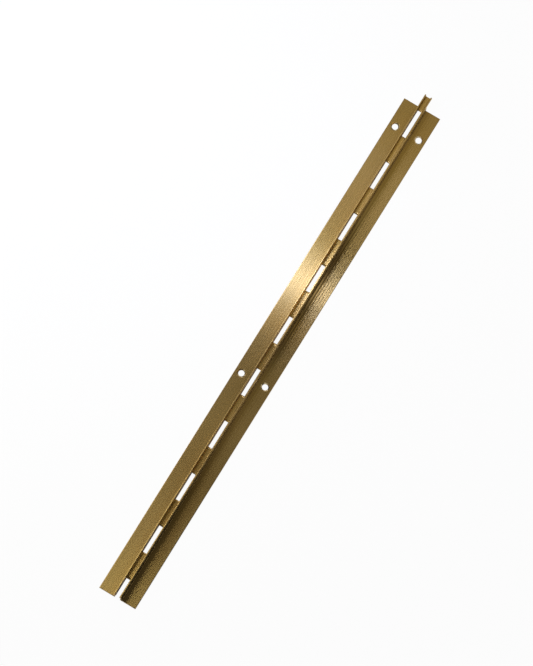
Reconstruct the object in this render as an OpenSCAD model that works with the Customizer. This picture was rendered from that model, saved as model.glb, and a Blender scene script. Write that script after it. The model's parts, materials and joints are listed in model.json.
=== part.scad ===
// Slotted mounting rail: a shallow channel carried on two risers between two screw-down leaves.
// It lies on the backs of its leaves at z = 0 and runs along Y, with its tongue at the +Y end.

/* [Rail] */
// Overall length, from the tip of the tongue to the cut end
rail_length = 480; // [120:1:1500]
// Width over both leaves
rail_width = 33.4; // [28:0.2:60]
// Height from the backs of the leaves to the rims of the channel
rail_height = 12; // [10:0.5:25]
// Length of channel that stands out past the leaves as a tongue
tongue_length = 8.7; // [2:0.1:12]

/* [Channel] */
// Clear width between the walls of the channel
channel_gap = 4.2; // [3.8:0.1:8]
// Depth of the channel, from its rims to its floor
channel_depth = 4.2; // [2.4:0.1:6]
// Thickness of the walls and the floor
channel_thickness = 1.1; // [0.8:0.1:1.6]
// Inside radius where the walls turn into the floor
bend_radius = 0.5; // [0.2:0.1:1]
// Radius along both edges of each rim
rim_radius = 0.35; // [0.1:0.05:0.35]

/* [Slots] */
// Width of each slot in the floor
slot_width = 3.2; // [2:0.1:3.6]
// Length of each slot
slot_length = 25; // [10:0.5:40]
// Distance from one slot to the next
slot_pitch = 50; // [45:0.5:100]
// Distance from the tip of the tongue to the first slot
first_slot = 13.5; // [4:0.5:30]
// Radius of the roll where the floor dips to each end of a slot
slot_roll_radius = 3.6; // [3:0.1:8]
// Length of floor that each roll takes up
slot_roll_length = 1.7; // [0.5:0.1:1.8]

/* [Risers] */
// Thickness of each riser
riser_thickness = 1; // [0.8:0.1:1.5]
// How far the outer face of each riser stands outside the channel's
riser_step = 0.3; // [0.1:0.1:0.6]
// Radius in the corner where each riser meets its leaf
toe_radius = 0.5; // [0.2:0.1:1.5]

/* [Leaves] */
// Thickness of each leaf
leaf_thickness = 1.2; // [1.2:0.1:2.5]
// Radius along the outer upper edge of each leaf
leaf_edge_radius = 0.4; // [0.1:0.1:0.8]

/* [Screw holes] */
// Diameter of each hole at the back of its leaf
hole_diameter = 5; // [3:0.1:5.5]
// Diameter of each countersink at the face of its leaf, cut at 90 degrees
countersink_diameter = 7; // [5.6:0.1:7.2]
// Distance between the two holes of a pair, across the rail
hole_spacing = 22; // [20:0.5:24]
// Distance from the tongue end of the leaves to the first pair
first_hole = 24.2; // [8:0.1:60]
// Distance from one pair to the next
hole_pitch = 239; // [60:1:400]

/* [Hidden] */
$fn = 64;
// Cuts run this far past the faces that they open
over = 1;

tip_y = rail_length / 2;
cut_y = -rail_length / 2;
leaf_end_y = tip_y - tongue_length;
leaf_length = leaf_end_y - cut_y;

// The section of the channel
channel_width = channel_gap + 2 * channel_thickness;
channel_height = channel_depth + channel_thickness;
belly_radius = bend_radius + channel_thickness;
belly_z = rail_height - channel_height;

// Each riser stands on its leaf and ends where the belly of the channel turns into its side
riser_outer = channel_width / 2 + riser_step;
riser_inner = riser_outer - riser_thickness;
riser_top = belly_z + belly_radius;

// Slots start at first_slot and repeat, and a bridge of floor follows each one that leaves room for it
least_bridge = 2;
bridge_count = floor((rail_length - first_slot - slot_length - least_bridge) / slot_pitch) + 1;
hole_pair_count = floor((leaf_length - first_hole - countersink_diameter / 2) / hole_pitch) + 1;

brass = [0.62, 0.5, 0.29];
bright_brass = [0.78, 0.66, 0.44];
shaded_brass = [0.5, 0.4, 0.22];

// Runs a section, drawn in X and Z, down the rail from y
module run_down(y, length) {
    translate([0, y, 0])
        rotate([90, 0, 0])
            linear_extrude(length)
                children();
}

// What is cut away to round a corner that points to +X and +Z
module corner_cut(radius) {
    difference() {
        square(radius + over);
        circle(radius);
    }
}

// A bar from the origin, with its upper right corner rounded
module bar(width, height, radius) {
    difference() {
        square([width, height]);
        translate([width - radius, height - radius])
            corner_cut(radius);
    }
}

// A trough shape that stands on the X axis, with rounded lower corners
module trough(width, height, radius) {
    for (side = [-1, 1])
        translate([side * (width / 2 - radius), radius])
            circle(radius);
    translate([-width / 2, radius])
        square([width, height - radius]);
    translate([radius - width / 2, 0])
        square([width - 2 * radius, height]);
}

// The outside of the channel, filled in, where it lies over the leaves
module channel_outline() {
    translate([0, belly_z])
        trough(channel_width, channel_height, belly_radius);
}

// The bent channel: two walls with rounded rims and the floor between them
module channel_section() {
    rim_cut = channel_thickness / 2 - rim_radius;
    difference() {
        channel_outline();
        translate([0, belly_z + channel_thickness])
            trough(channel_gap, channel_height, bend_radius);
        for (side = [-1, 1], face = [-1, 1])
            translate([side * (channel_gap + channel_thickness) / 2 + face * rim_cut, rail_height - rim_radius])
                mirror([face < 0 ? 1 : 0, 0])
                    corner_cut(rim_radius);
    }
}

// One side of the channel, with the strip of floor that runs on past every slot
module wall() {
    color(bright_brass)
        run_down(tip_y, rail_length)
            intersection() {
                channel_section();
                translate([slot_width / 2, 0])
                    square([channel_width, rail_height + over]);
            }
}

// Side view of a floor piece: it rolls down to the slot after it, at its left, and to the slot before it
module floor_side(length, slot_before, slot_after) {
    roll_z = channel_thickness - slot_roll_radius;
    difference() {
        square([length, channel_thickness]);
        if (slot_before)
            translate([length - slot_roll_length, roll_z])
                corner_cut(slot_roll_radius);
        if (slot_after)
            translate([slot_roll_length, roll_z])
                mirror([1, 0])
                    corner_cut(slot_roll_radius);
    }
}

// The floor between two slots, from y down the rail
module floor_piece(y, length, slot_before, slot_after) {
    color(brass)
        intersection() {
            run_down(y, length)
                intersection() {
                    channel_section();
                    translate([-slot_width / 2, 0])
                        square([slot_width, rail_height]);
                }
            translate([-slot_width / 2, y - length, belly_z])
                rotate([90, 0, 90])
                    linear_extrude(slot_width)
                        floor_side(length, slot_before, slot_after);
        }
}

module tongue_floor() {
    floor_piece(tip_y, first_slot, false, true);
}

module floor_bridge(i) {
    start = first_slot + (i - 1) * slot_pitch + slot_length;
    length = min(slot_pitch - slot_length, rail_length - start);
    floor_piece(tip_y - start, length, true, start + length < rail_length);
}

// The upright strip that carries one side of the channel, coped to the channel's belly
module riser() {
    color(shaded_brass)
        run_down(leaf_end_y, leaf_length)
            difference() {
                union() {
                    translate([riser_inner, leaf_thickness])
                        bar(riser_thickness, riser_top - leaf_thickness, riser_step);
                    translate([riser_outer, leaf_thickness])
                        difference() {
                            square(toe_radius);
                            translate([toe_radius, toe_radius])
                                circle(toe_radius);
                        }
                }
                channel_outline();
            }
}

module screw_hole() {
    sink = (countersink_diameter - hole_diameter) / 2;
    translate([0, 0, -over])
        cylinder(d = hole_diameter, h = leaf_thickness + 2 * over);
    translate([0, 0, leaf_thickness - sink])
        cylinder(d1 = hole_diameter, d2 = countersink_diameter + 2 * over, h = sink + over);
}

module leaf() {
    color(brass)
        difference() {
            run_down(leaf_end_y, leaf_length)
                translate([riser_inner, 0])
                    bar(rail_width / 2 - riser_inner, leaf_thickness, leaf_edge_radius);
            for (i = [0:hole_pair_count - 1])
                translate([hole_spacing / 2, leaf_end_y - first_hole - i * hole_pitch, 0])
                    screw_hole();
        }
}

// The left side is the right side, mirrored
module left_leaf() { mirror([1, 0, 0]) leaf(); }
module right_leaf() { leaf(); }
module left_riser() { mirror([1, 0, 0]) riser(); }
module right_riser() { riser(); }
module left_wall() { mirror([1, 0, 0]) wall(); }
module right_wall() { wall(); }

left_leaf();
right_leaf();
left_riser();
right_riser();
left_wall();
right_wall();
tongue_floor();
for (i = [1:bridge_count])
    floor_bridge(i);
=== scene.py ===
"""Looks for the slotted brass rail: metal on the CAD solids, a table, light and the camera."""
import json
import math

import bpy
from mathutils import Matrix, Vector


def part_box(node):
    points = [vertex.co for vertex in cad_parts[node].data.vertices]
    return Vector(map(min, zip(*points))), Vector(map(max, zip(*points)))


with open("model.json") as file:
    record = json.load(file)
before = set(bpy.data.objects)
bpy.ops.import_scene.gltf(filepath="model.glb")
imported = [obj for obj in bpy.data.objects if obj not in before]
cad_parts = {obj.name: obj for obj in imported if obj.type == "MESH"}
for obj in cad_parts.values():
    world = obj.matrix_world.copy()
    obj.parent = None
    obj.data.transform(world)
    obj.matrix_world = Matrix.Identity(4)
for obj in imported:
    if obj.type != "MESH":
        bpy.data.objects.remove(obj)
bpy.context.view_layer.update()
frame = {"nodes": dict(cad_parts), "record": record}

MM = 0.001
NOISE_RANGE = 0.3, 0.7  # where most values of a noise lie


# ---------------------------------------------------------------- node helpers
class Nodes:
    """Short calls that add nodes to one tree and link them."""

    def __init__(self, tree):
        self.tree = tree
        tree.nodes.clear()

    def add(self, kind, values=(), **settings):
        node = self.tree.nodes.new(kind)
        for name, value in settings.items():
            setattr(node, name, value)
        for socket, value in dict(values).items():
            self.put(node.inputs[socket], value)
        return node

    def put(self, socket, value):
        if isinstance(value, bpy.types.NodeSocket):
            self.tree.links.new(value, socket)
        else:
            socket.default_value = value

    def math(self, operation, a, b=None, clamp=False):
        node = self.add("ShaderNodeMath", {0: a}, operation=operation, use_clamp=clamp)
        if b is not None:
            self.put(node.inputs[1], b)
        return node.outputs[0]

    def remap(self, value, low, high, to_low, to_high):
        node = self.add("ShaderNodeMapRange", {0: value, 1: low, 2: high, 3: to_low, 4: to_high})
        return node.outputs[0]

    def spread(self, noise, low, high):
        """Noise stretched so that its usual range runs from low to high."""
        return self.remap(noise, *NOISE_RANGE, low, high)

    def split(self, vector):
        """The X, Y and Z of a vector."""
        return tuple(self.add("ShaderNodeSeparateXYZ", {0: vector}).outputs)

    def noise(self, vector, size, detail=2.0, roughness=0.5):
        """Noise whose grain has that size in metres along X, Y and Z."""
        scale = [1.0 / s for s in size]
        placed = self.add("ShaderNodeMapping", {"Vector": vector, "Scale": scale})
        node = self.add("ShaderNodeTexNoise", {
            "Vector": placed.outputs[0], "Scale": 1.0, "Detail": detail, "Roughness": roughness})
        return node.outputs["Fac"]

    def mix_colour(self, factor, a, b):
        node = self.add("ShaderNodeMix", data_type="RGBA")
        self.put(node.inputs[0], factor)
        self.put(node.inputs[6], a)
        self.put(node.inputs[7], b)
        return node.outputs[2]


def material(name):
    made = bpy.data.materials.new(name)
    made.use_nodes = True
    return made, Nodes(made.node_tree)


# ---------------------------------------------------------------- brushed brass
screws = next(mount for mount in frame["record"]["mounts"] if mount["name"] == "screw_holes")
HOLE_X = screws["dims"]["spacing_x_mm"] * MM / 2
HOLE_Y = screws["dims"]["spacing_y_mm"] * MM / 2
HOLE_MIDDLE_Y = screws["pos_m"][1]
LEAF_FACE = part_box("left_leaf")[1][2]
SINK_RADIUS = 3.6 * MM  # just outside a countersink
SKIN = 0.01 * MM        # keeps the leaf's own two faces out of the mouths


def sink_nodes(n, place):
    """1 inside the mouth of a screw hole and 0 elsewhere, and the direction round that hole."""
    x, y, z = n.split(place)
    from_middle = n.math("SUBTRACT", y, HOLE_MIDDLE_Y)
    dx = n.math("MULTIPLY", n.math("SIGN", x), n.math("SUBTRACT", n.math("ABSOLUTE", x), HOLE_X))
    dy = n.math("MULTIPLY", n.math("SIGN", from_middle),
                n.math("SUBTRACT", n.math("ABSOLUTE", from_middle), HOLE_Y))
    radius = n.math("SQRT", n.math("ADD", n.math("MULTIPLY", dx, dx), n.math("MULTIPLY", dy, dy)))
    near = n.math("LESS_THAN", radius, SINK_RADIUS)
    below = n.math("LESS_THAN", z, LEAF_FACE - SKIN)
    above = n.math("GREATER_THAN", z, SKIN)
    inside = n.math("MULTIPLY", n.math("MULTIPLY", near, below), above)
    round_hole = n.add("ShaderNodeCombineXYZ", {
        "X": n.math("MULTIPLY", dy, -1.0), "Y": dx, "Z": 0.0})
    turned = n.add("ShaderNodeVectorMath", {0: round_hole.outputs[0]}, operation="NORMALIZE")
    return inside, turned.outputs[0]


# A surface faces along an axis where that part of its normal is above this
FACING = 0.7
# The cosine between the flat and the rounded normal, where an edge starts and where it is full
EDGE_TURN = 0.99, 0.8
EDGE_RADIUS = 0.3 * MM
GROOVE_DEPTH = 0.003 * MM
SCRATCH_LEVELS = 0.66, 0.74  # only the peaks of a noise are scratches

# Waves of polish along the rail, put where the photograph shows light and dark. Their cause
# isn't known. A fade is where it starts and ends, as a distance from the middle along Y.
WAVE_START = 7.3 * MM
WAVE_PITCH = 2.15 * MM
WAVE_MIDDLE = 60 * MM   # along Y, where they are strongest
POLISH_FADE = 40 * MM, 130 * MM
POLISH_LEFT = 0.3       # the share of the polish that is left past its fade
LEFT_SIDE_SHARE = 0.25
# Near the middle the valleys between the waves are painted dark: painted shade.
DULL_SHADE_FADE = 30 * MM, 80 * MM
DULL_SHADE_GAIN = 7           # how dark the valleys are against how much the waves change the roughness

# Faces that look right are painted darker towards the cut end, along Y: painted shade. What casts it
# isn't known.
PAINTED_SHADE_FROM, PAINTED_SHADE_TO = -60 * MM, -170 * MM

# The mouths of the screw holes hold spots of these two colours: painted shade and a painted glint,
# for the dark and bright reflections in the countersinks
PAINTED_SHADE_SPOT, PAINTED_GLINT_SPOT = (0.10, 0.07, 0.025, 1), (0.78, 0.62, 0.36, 1)
SPOT_LEVELS = 0.42, 0.58


def scaled(colour, gain):
    """A colour made lighter or darker, with alpha 1."""
    return (*(gain * part for part in colour), 1)


def brushed_brass(name, light, dark, roughness, ripple):
    """Brass brushed along the rail: streaks, bands, waves, scratches, eased edges, sawn ends; a
    painted highlight on the edges, painted glints and shade in the screw-hole mouths, painted shade
    in the wave valleys and on faces that look right.
    """
    made, n = material(name)
    place = n.add("ShaderNodeTexCoord").outputs["Object"]
    x, y, _ = n.split(place)
    streak = n.noise(place, (0.35 * MM, 120 * MM, 0.35 * MM), detail=2.0, roughness=0.6)
    band = n.noise(place, (1.3 * MM, 300 * MM, 1.3 * MM), detail=2.0)
    cloud = n.noise(place, (16 * MM, 30 * MM, 16 * MM), detail=3.0)
    scratch = n.noise(place, (0.15 * MM, 30 * MM, 0.15 * MM), detail=1.0)
    scratch = n.remap(scratch, *SCRATCH_LEVELS, 0.0, 1.0)
    grain = n.noise(place, (0.15 * MM, 0.15 * MM, 0.15 * MM), detail=2.0)

    # Where the surface is an eased edge, a side, a sawn end, the mouth of a screw hole or painted
    # with shade on the right
    flat = n.add("ShaderNodeNewGeometry").outputs["True Normal"]
    rounded = n.add("ShaderNodeBevel", {"Radius": EDGE_RADIUS}, samples=6).outputs[0]
    turned = n.add("ShaderNodeVectorMath", {0: flat, 1: rounded},
                   operation="DOT_PRODUCT").outputs["Value"]
    edge_wear_and_highlight = n.remap(turned, *EDGE_TURN, 0.0, 1.0)
    facing = n.add("ShaderNodeVectorTransform", {"Vector": flat},
                   vector_type="NORMAL", convert_from="WORLD", convert_to="OBJECT").outputs[0]
    facing_x, facing_y, facing_z = n.split(facing)
    upward = n.math("MAXIMUM", facing_z, 0.0)
    side = n.math("GREATER_THAN", n.math("ABSOLUTE", facing_x), FACING)
    end = n.math("GREATER_THAN", n.math("ABSOLUTE", facing_y), FACING)
    sink, round_hole = sink_nodes(n, place)
    right_painted_shade = n.math("MULTIPLY", n.math("GREATER_THAN", facing_x, FACING),
                    n.remap(y, PAINTED_SHADE_FROM, PAINTED_SHADE_TO, 0.0, 1.0))

    # Waves of polish and the dull valleys between them, plainest on the right side; near the middle
    # the valleys are painted dark as painted shade
    phase = n.math("MULTIPLY", n.math("SUBTRACT", x, WAVE_START), 2 * math.pi / WAVE_PITCH)
    right_side = n.remap(x, -1 * MM, 1 * MM, LEFT_SIDE_SHARE, 1.0)
    waves = n.math("MULTIPLY", n.math("MULTIPLY", n.math("COSINE", phase), right_side), upward)
    from_middle = n.math("ABSOLUTE", n.math("SUBTRACT", y, WAVE_MIDDLE))
    polish = n.math("MULTIPLY", waves, n.remap(from_middle, *POLISH_FADE, 1.0, POLISH_LEFT))
    dull_shade = n.math("MAXIMUM", n.math("MULTIPLY", waves, -1.0), 0.0)
    dull_shade = n.math("MULTIPLY", dull_shade, n.remap(from_middle, *DULL_SHADE_FADE, 1.0, 0.0))

    # Colour
    tone = n.math("ADD", n.spread(streak, 0.0, 0.45), n.spread(band, 0.0, 0.3))
    tone = n.math("ADD", tone, n.spread(cloud, 0.0, 0.25), clamp=True)
    spots = n.noise(place, (2.2 * MM, 2.2 * MM, 2.2 * MM), detail=1.0)
    spots = n.remap(spots, *SPOT_LEVELS, 0.0, 1.0)
    mouth_glint_and_shade = n.mix_colour(spots, PAINTED_SHADE_SPOT, PAINTED_GLINT_SPOT)
    colour = n.mix_colour(tone, scaled(dark, 1), scaled(light, 1))
    for mask, share, paint in (
            (scratch, 0.3, scaled(light, 1.35)),
            # Eased edges made lighter: partly wear, partly a painted highlight along the rims.
            (edge_wear_and_highlight, 0.35, scaled(light, 1.2)),
            (end, 0.5, scaled(dark, 0.75)),
            # The screw-hole mouths: spots of painted glint and painted shade.
            (sink, 0.85, mouth_glint_and_shade),
            # Painted shade in the valleys between the waves.
            (dull_shade, DULL_SHADE_GAIN * ripple, scaled(dark, 0.15)),
            # Painted shade on faces that look right, towards the cut end.
            (right_painted_shade, 0.95, scaled(dark, 0.1))):
        colour = n.mix_colour(n.math("MULTIPLY", mask, share), colour, paint)

    # Roughness
    rough = n.math("ADD", n.spread(streak, -0.02, 0.02), roughness)
    rough = n.math("ADD", rough, n.spread(band, -0.015, 0.015))
    for mask, change in ((end, 0.16), (sink, -0.13), (side, -0.07), (polish, -ripple)):
        rough = n.math("ADD", rough, n.math("MULTIPLY", mask, change))

    # Normal: the bands lean the face a little from side to side, and grooves and scratches lie in it
    lean = n.math("MULTIPLY", n.spread(band, -0.02, 0.02), upward)
    leaning = n.add("ShaderNodeCombineXYZ", {"X": lean, "Y": 0.0, "Z": 0.0})
    leant = n.add("ShaderNodeVectorMath", {0: rounded, 1: leaning.outputs[0]}, operation="ADD")
    leant = n.add("ShaderNodeVectorMath", {0: leant.outputs[0]}, operation="NORMALIZE")
    height = n.math("SUBTRACT", streak, n.math("MULTIPLY", scratch, 0.4))
    height = n.math("ADD", height, n.math("MULTIPLY", n.math("MULTIPLY", end, grain), 4.0))
    grooves = n.add("ShaderNodeBump", {
        "Strength": 0.25, "Distance": GROOVE_DEPTH, "Height": height, "Normal": leant.outputs[0]})

    # The brushing runs along the rail, and round each hole in its mouth
    along = n.add("ShaderNodeCombineXYZ", {"X": 0.02, "Y": 1.0, "Z": 0.01})
    brushing = n.add("ShaderNodeMix", data_type="VECTOR")
    n.put(brushing.inputs[0], sink)
    n.put(brushing.inputs[4], along.outputs[0])
    n.put(brushing.inputs[5], round_hole)
    tangent = n.add("ShaderNodeVectorTransform", {"Vector": brushing.outputs[1]},
                    vector_type="VECTOR", convert_from="OBJECT", convert_to="WORLD")
    shader = n.add("ShaderNodeBsdfPrincipled", {
        "Base Color": colour, "Metallic": 1.0, "Roughness": rough, "Anisotropic": 1.0,
        "Anisotropic Rotation": 0.25, "Tangent": tangent.outputs[0], "Normal": grooves.outputs[0]})
    out = n.add("ShaderNodeOutputMaterial")
    n.put(out.inputs[0], shader.outputs[0])
    return made


# The middle of these two tones was solved together with the light of the panels below
LIGHT_BRASS, DARK_BRASS = (0.446, 0.297, 0.105), (0.365, 0.243, 0.086)
# The channel's brass is the leaves' brass painted lighter: painted light.
CHANNEL_PAINTED_LIGHT_GAIN = 1.3  # the photograph shows the channel lighter than the leaves
BRASS_ROUGHNESS = 0.27
leaf_brass = brushed_brass(
    "leaf_brass", LIGHT_BRASS, DARK_BRASS, roughness=BRASS_ROUGHNESS, ripple=0.08)
channel_painted_light_tones = ([CHANNEL_PAINTED_LIGHT_GAIN * part for part in tone] for tone in (LIGHT_BRASS, DARK_BRASS))
channel_brass = brushed_brass(
    "channel_brass", *channel_painted_light_tones, roughness=BRASS_ROUGHNESS, ripple=0.01)

for name, node in frame["nodes"].items():
    chosen = leaf_brass if name.endswith(("leaf", "riser")) else channel_brass
    for place in node.material_slots:
        place.material = chosen


# ---------------------------------------------------------------- the table
def white_surface(name, diffuse_share):
    """White to the camera and in reflections; its diffuse share keeps the object's shadow."""
    made, n = material(name)
    rays = n.add("ShaderNodeLightPath")
    seen = n.math("ADD", rays.outputs["Is Camera Ray"], rays.outputs["Is Glossy Ray"])
    seen = n.math("ADD", seen, rays.outputs["Is Transmission Ray"], clamp=True)
    lit = n.add("ShaderNodeBsdfDiffuse", {"Color": (0.9, 0.9, 0.9, 1)})
    white = n.add("ShaderNodeEmission", {"Color": (1, 1, 1, 1), "Strength": 1.0})
    share = n.math("MULTIPLY", seen, 1.0 - diffuse_share)
    both = n.add("ShaderNodeMixShader", {0: share, 1: lit.outputs[0], 2: white.outputs[0]})
    out = n.add("ShaderNodeOutputMaterial")
    n.put(out.inputs[0], both.outputs[0])
    return made


def level_sheet(name, x0, x1, y0, y1, z, paint, faces_up):
    """A level rectangle that isn't part of the object."""
    mesh = bpy.data.meshes.new(name)
    corners = [(x0, y0, 0), (x1, y0, 0), (x1, y1, 0), (x0, y1, 0)]
    mesh.from_pydata(corners, [], [(0, 1, 2, 3) if faces_up else (0, 3, 2, 1)])
    mesh.materials.append(paint)
    sheet = bpy.data.objects.new(name, mesh)
    bpy.context.scene.collection.objects.link(sheet)
    sheet.location.z = z
    return sheet


TABLE_HALF = 4.0
TABLE_DROP = 0.2 * MM       # a hair below the leaves' backs
TABLE_DIFFUSE_SHARE = 0.04
level_sheet("table", -TABLE_HALF, TABLE_HALF, -TABLE_HALF, TABLE_HALF, -TABLE_DROP,
            white_surface("white_table", TABLE_DIFFUSE_SHARE), faces_up=True)


# ---------------------------------------------------------------- world and glowing panels
# White walls round the horizon, pale ends beyond the rail's own ends, and a dim ceiling. The limits
# are parts of a direction: upward for the walls' top, and along the rail for the ends.
WALL_TOP = 0.1, 0.3
END_START = 0.4, 0.7
CEILING, ENDS = 0.12, 0.6

world = bpy.data.worlds.new("studio")
bpy.context.scene.world = world
world.use_nodes = True
w = Nodes(world.node_tree)
_, along, height = w.split(w.add("ShaderNodeTexCoord").outputs["Generated"])
walls = w.add("ShaderNodeMapRange", {0: height, 1: WALL_TOP[0], 2: WALL_TOP[1], 3: 1, 4: CEILING},
              interpolation_type="SMOOTHSTEP")
ends = w.add("ShaderNodeMapRange", {
    0: w.math("ABSOLUTE", along), 1: END_START[0], 2: END_START[1], 3: 0, 4: ENDS},
    interpolation_type="SMOOTHSTEP")
brightest = w.math("MAXIMUM", walls.outputs[0], ends.outputs[0])
soft = w.add("ShaderNodeBackground", {"Color": (1, 1, 1, 1), "Strength": brightest})
out = w.add("ShaderNodeOutputWorld")
w.put(out.inputs[0], soft.outputs[0])

PANEL_HEIGHT = 0.25


def panel(name, x0, x1, glow):
    """A level panel over the rail that glows by (y, colour) pairs; the camera looks through it."""
    y0, y1 = glow[0][0], glow[-1][0]
    paint, n = material(name)
    _, y, _ = n.split(n.add("ShaderNodeTexCoord").outputs["Object"])
    peak = max(max(colour) for _, colour in glow)
    ramp = n.add("ShaderNodeValToRGB", {0: n.remap(y, y0, y1, 0.0, 1.0)})
    stops = ramp.color_ramp.elements
    while len(stops) < len(glow):
        stops.new(1.0)
    for stop, (at, colour) in zip(stops, glow):
        stop.position = (at - y0) / (y1 - y0)
        stop.color = scaled(colour, 1 / peak)
    light = n.add("ShaderNodeEmission", {"Color": ramp.outputs[0], "Strength": peak})
    out = n.add("ShaderNodeOutputMaterial")
    n.put(out.inputs[0], light.outputs[0])
    sheet = level_sheet(name, x0, x1, y0, y1, PANEL_HEIGHT, paint, faces_up=False)
    sheet.visible_camera = False


# Each panel's name, its reach along X, and its radiance along Y. The real lights aren't known: these
# levels were solved so that the rail renders about as bright as it is in the photograph, and then
# simplified. They are uneven and partly coloured.
PANELS = (
    ("middle_panel", -0.08, 0.08, (
        (-0.239, (0.1, 0.1, 0.1)), (-0.075, (0.19, 0.17, 0.11)), (-0.018, (0.4, 0.38, 0.29)),
        (0.031, (0.33, 0.33, 0.21)), (0.063, (0.14, 0.15, 0.15)), (0.086, (0.37, 0.33, 0.2)),
        (0.103, (0.1, 0.1, 0.1)), (0.119, (1.8, 1.8, 1.9)), (0.134, (0.11, 0.1, 0.1)),
        (0.153, (0.16, 0.14, 0.1)), (0.186, (0.53, 0.54, 0.43)), (0.235, (0.52, 0.5, 0.3)),
        (0.284, (0.68, 0.62, 0.38)), (0.349, (0.48, 0.47, 0.48)),
    )),
    ("left_panel", -0.2, -0.08, (
        (-0.230, (0.95, 0.96, 0.92)), (-0.181, (3.4, 3.5, 2.9)), (-0.124, (1.3, 1.2, 1)),
        (-0.010, (0.77, 0.85, 0.98)), (0.039, (0.49, 0.47, 0.66)), (0.072, (1.6, 1.6, 1.7)),
        (0.095, (2.3, 2.1, 2.2)), (0.112, (6, 7, 11)), (0.128, (11, 13, 23)),
        (0.143, (8.5, 9.6, 13)), (0.162, (3.7, 3.9, 3.7)), (0.195, (2.2, 2.1, 2.3)),
        (0.243, (2, 2.1, 2.8)), (0.292, (0.72, 0.7, 0.63)), (0.358, (1, 1.1, 1.2)),
    )),
    ("far_left_panel", -0.4, -0.2, (
        (-0.206, (4.2, 3.9, 3.7)), (-0.157, (0.1, 0.1, 0.19)), (-0.099, (3.5, 4.1, 4.5)),
        (-0.042, (0.1, 0.1, 0.1)), (0.064, (0.1, 0.1, 0.1)), (0.097, (0.1, 0.1, 0.19)),
        (0.119, (4, 4.2, 5.2)), (0.137, (6, 6.6, 7.9)), (0.152, (3.1, 3.5, 4.4)),
        (0.168, (3.7, 4.1, 5.5)), (0.186, (0.1, 0.11, 0.21)), (0.219, (0.1, 0.1, 0.1)),
        (0.382, (0.1, 0.1, 0.1)),
    )),
    ("left_wall_panel", -1, -0.4, (
        (-0.122, (4.3, 4.2, 4)), (-0.057, (0.1, 0.1, 0.19)), (0.009, (7.2, 6.5, 5.6)),
        (0.074, (0.37, 0.33, 0.2)), (0.139, (0.87, 0.93, 1.6)), (0.204, (6.1, 6.5, 7.7)),
        (0.270, (0.1, 0.1, 0.19)), (0.401, (0.1, 0.1, 0.1)), (0.466, (0.1, 0.1, 0.1)),
    )),
    ("right_panel", 0.08, 0.3, (
        (-0.224, (0.1, 0.1, 0.1)), (-0.028, (0.1, 0.1, 0.1)), (0.038, (0.31, 0.28, 0.34)),
        (0.103, (0.1, 0.1, 0.1)), (0.168, (0.1, 0.1, 0.1)), (0.234, (0.56, 0.5, 0.36)),
        (0.299, (0.18, 0.16, 0.1)), (0.364, (0.33, 0.3, 0.24)),
    )),
    ("far_right_panel", 0.3, 1, (
        (-0.133, (0.1, 0.1, 0.1)), (0.389, (0.11, 0.1, 0.1)), (0.455, (0.2, 0.18, 0.11)),
    )),
)
for name, x0, x1, glow in PANELS:
    panel(name, x0, x1, glow)

# ---------------------------------------------------------------- camera
# Fitted to the photograph together with the section. The distance is held by a first estimate.
VIEW = Vector((0.0916892, -0.2302262, 0.9687925)).normalized()  # from the rail to the camera
DISTANCE = 6.293
TURN = math.radians(58.09)   # the rail's own direction in the picture, up from the right
ROLL = -0.0006
LENS = 427.4
ORIGIN_RIGHT, ORIGIN_DOWN = 5.867 * MM, 11.274 * MM  # the origin's place from the picture's middle

up = (Vector((0, 1, 0)) - VIEW * VIEW.y).normalized()
right = up.cross(VIEW)
up, right = (up * math.cos(ROLL) + right * math.sin(ROLL),
             right * math.cos(ROLL) - up * math.sin(ROLL))
cam_right = right * math.sin(TURN) + up * math.cos(TURN)
cam_up = -right * math.cos(TURN) + up * math.sin(TURN)
spot = VIEW * DISTANCE - cam_right * ORIGIN_RIGHT + cam_up * ORIGIN_DOWN

camera_data = bpy.data.cameras.new("camera")
camera_data.lens = LENS
camera_data.sensor_width = 36.0
camera_data.clip_end = 50.0
camera = bpy.data.objects.new("camera", camera_data)
bpy.context.scene.collection.objects.link(camera)
camera.matrix_world = Matrix((
    (cam_right.x, cam_up.x, VIEW.x, spot.x),
    (cam_right.y, cam_up.y, VIEW.y, spot.y),
    (cam_right.z, cam_up.z, VIEW.z, spot.z),
    (0, 0, 0, 1)))
bpy.context.scene.camera = camera

bpy.context.scene.view_settings.view_transform = "Standard"
